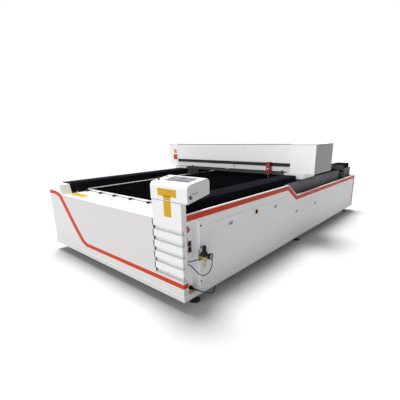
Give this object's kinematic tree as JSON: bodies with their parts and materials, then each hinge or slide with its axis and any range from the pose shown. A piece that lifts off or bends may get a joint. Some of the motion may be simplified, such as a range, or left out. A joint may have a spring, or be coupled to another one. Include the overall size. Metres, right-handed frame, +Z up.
{
  "type": "carbon dioxide laser engraving machine",
  "caption": "Flatbed laser engraving and cutting machine with a moving gantry, bellows-covered rails, slatted bed, control pod and side service hatches.",
  "frame": {"origin": "floor level at the middle of the footprint, exhaust collars included", "axes": "+X to the operator's right, +Y towards the back of the machine, +Z up"},
  "size_m": [2.316, 4.04, 1.137],
  "materials": {
    "white_paint": "satin powder coat",
    "grey_paint": "satin powder coat",
    "black_frame": "matt powder coat",
    "bed_black": "matt",
    "zinc": "zinc plated",
    "steel": "ground",
    "bellows_cloth": "coated cloth",
    "black_plastic": "moulded",
    "belt_rubber": "matt",
    "pod_plastic": "satin",
    "brass": "cast",
    "clear_bowl": "clear polycarbonate",
    "laser_glass": "clear",
    "motor_black": "satin",
    "aluminium": "anodised",
    "red_anodised": "red anodised",
    "estop_red": "gloss",
    "rocker_red": "gloss",
    "key_metal": "plated",
    "bristle": "nylon bristle",
    "mirror_gold": "gold coated",
    "hose_black": "polyurethane"
  },
  "bodies": {
    "base": {"frame": "black_frame", "levelling_feet": "zinc", "front_panel": "white_paint", "louvre_panel": "white_paint", "front_ledge": "white_paint", "corner_cover": "white_paint", "clamp_bar": "white_paint", "left_side_panel": "grey_paint", "right_side_panel": "grey_paint", "rear_panel": "grey_paint", "bed_tray": "bed_black", "bed_slats": "bed_black", "rail_beams": "black_frame", "linear_rails": "steel", "front_bellows": "bellows_cloth", "rear_bellows": "bellows_cloth", "side_channels": "bed_black", "chain_lower_run": "black_plastic", "y_belts": "belt_rubber", "y_motor": "motor_black", "pod_shell": "pod_plastic", "pod_column": "white_paint", "interface_panel": "grey_paint", "panel_fittings": "black_plastic", "regulator_body": "brass", "regulator_bowl": "clear_bowl", "gauge": "black_plastic", "laser_power_supply": "zinc", "air_hose_loop": "hose_black", "air_hose_short": "hose_black", "power_cord": "hose_black"},
    "gantry": {"gantry_beam": "aluminium", "saddles": "white_paint", "gantry_covers": "white_paint", "gantry_end_covers": "white_paint", "laser_tube": "laser_glass", "tube_clamps": "aluminium", "x_rail": "steel", "x_motor": "motor_black", "dust_strip": "belt_rubber", "dust_brush": "bristle", "beam_mirrors": "mirror_gold", "chain_upper_run": "black_plastic"},
    "gantry_lid": {"gantry_lid": "white_paint"},
    "carriage": {"carriage_plate": "aluminium", "head_body": "red_anodised"},
    "lens": {"lens_tube": "red_anodised"},
    "chain_loop": {"chain_bend": "black_plastic"},
    "drive_shaft": {"y_drive_shaft": "steel"},
    "idlers": {"y_idlers": "steel"},
    "estop": {"estop_button": "estop_red"},
    "power_key": {"key": "key_metal"},
    "upper_rocker": {"rocker_upper": "rocker_red"},
    "lower_rocker": {"rocker_lower": "rocker_red"},
    "pod_push": {"pod_button": "black_plastic"},
    "pressure_knob": {"regulator_knob": "black_plastic"},
    "needle": {"gauge_needle": "black_plastic"},
    "front_hatch": {"front_door": "grey_paint"},
    "hatch_lock": {"door_lock": "black_plastic"},
    "rear_hatch": {"rear_door": "grey_paint"}
  },
  "joints": [
    {"name": "gantry_travel", "type": "slide", "parent": "base", "child": "gantry", "axis": [0, 1, 0], "range_m": [-1.6, 0.9], "deforming": ["front_bellows", "rear_bellows", "chain_upper_run", "chain_lower_run"]},
    {"name": "chain_roll", "type": "slide", "parent": "base", "child": "chain_loop", "axis": [0, 1, 0], "range_m": [-0.8, 0.45]},
    {"name": "carriage_travel", "type": "slide", "parent": "gantry", "child": "carriage", "axis": [1, 0, 0], "range_m": [-1.27, 0.05]},
    {"name": "head_focus", "type": "slide", "parent": "carriage", "child": "lens", "axis": [0, 0, 1], "range_m": [-0.02, 0.02]},
    {"name": "drive_shaft_turn", "type": "hinge", "parent": "base", "child": "drive_shaft", "pos_m": [0, 1.85, 0.676], "axis": [1, 0, 0], "range_deg": [-2560, 4545]},
    {"name": "idler_turn", "type": "hinge", "parent": "base", "child": "idlers", "pos_m": [0, -1.83, 0.676], "axis": [1, 0, 0], "range_deg": [-2560, 4545]},
    {"name": "lid_hinge", "type": "hinge", "parent": "gantry", "child": "gantry_lid", "pos_m": [0, 0.441, 1.1305], "axis": [-1, 0, 0], "range_deg": [0, 80]},
    {"name": "estop_press", "type": "slide", "parent": "base", "child": "estop", "axis": [-1, 0, 0], "range_m": [0, 0.005], "stiffness_N_per_m": 1500, "springref_m": -0.004},
    {"name": "key_turn", "type": "hinge", "parent": "base", "child": "power_key", "pos_m": [1.01, -1.948, 0.552], "axis": [1, 0, 0], "range_deg": [0, 90]},
    {"name": "upper_rocker_press", "type": "hinge", "parent": "base", "child": "upper_rocker", "pos_m": [1.011, -1.91, 0.497], "axis": [0, 1, 0], "range_deg": [0, 16]},
    {"name": "lower_rocker_press", "type": "hinge", "parent": "base", "child": "lower_rocker", "pos_m": [1.011, -1.91, 0.451], "axis": [0, 1, 0], "range_deg": [0, 16]},
    {"name": "pod_button_press", "type": "slide", "parent": "base", "child": "pod_push", "axis": [0, 0, -1], "range_m": [0, 0.003], "stiffness_N_per_m": 600, "springref_m": -0.002},
    {"name": "pressure_knob_turn", "type": "hinge", "parent": "base", "child": "pressure_knob", "pos_m": [1.09, -1.842, 0.437], "axis": [0, 0, 1], "range_deg": [-540, 540]},
    {"name": "needle_sweep", "type": "hinge", "parent": "base", "child": "needle", "pos_m": [1.11, -1.801, 0.389], "axis": [-1, 0, 0], "range_deg": [0, 270], "stiffness_Nm_per_rad": 0.0005, "springref_deg": -11.46},
    {"name": "front_hatch_hinge", "type": "hinge", "parent": "base", "child": "front_hatch", "pos_m": [1.041, -1.068, 0.1355], "axis": [0, 1, 0], "range_deg": [0, 85]},
    {"name": "hatch_lock_turn", "type": "hinge", "parent": "front_hatch", "child": "hatch_lock", "pos_m": [1.044, -1.08, 0.574], "axis": [1, 0, 0], "range_deg": [0, 90]},
    {"name": "rear_hatch_hinge", "type": "hinge", "parent": "base", "child": "rear_hatch", "pos_m": [1.041, 0.1, 0.1355], "axis": [0, 1, 0], "range_deg": [0, 85]}
  ],
  "couplings": [
    {"joint": "chain_roll", "follows": "gantry_travel", "ratio": 0.5},
    {"joint": "drive_shaft_turn", "follows": "gantry_travel", "rad_per_m": -49.505},
    {"joint": "idler_turn", "follows": "gantry_travel", "rad_per_m": -49.505}
  ]
}
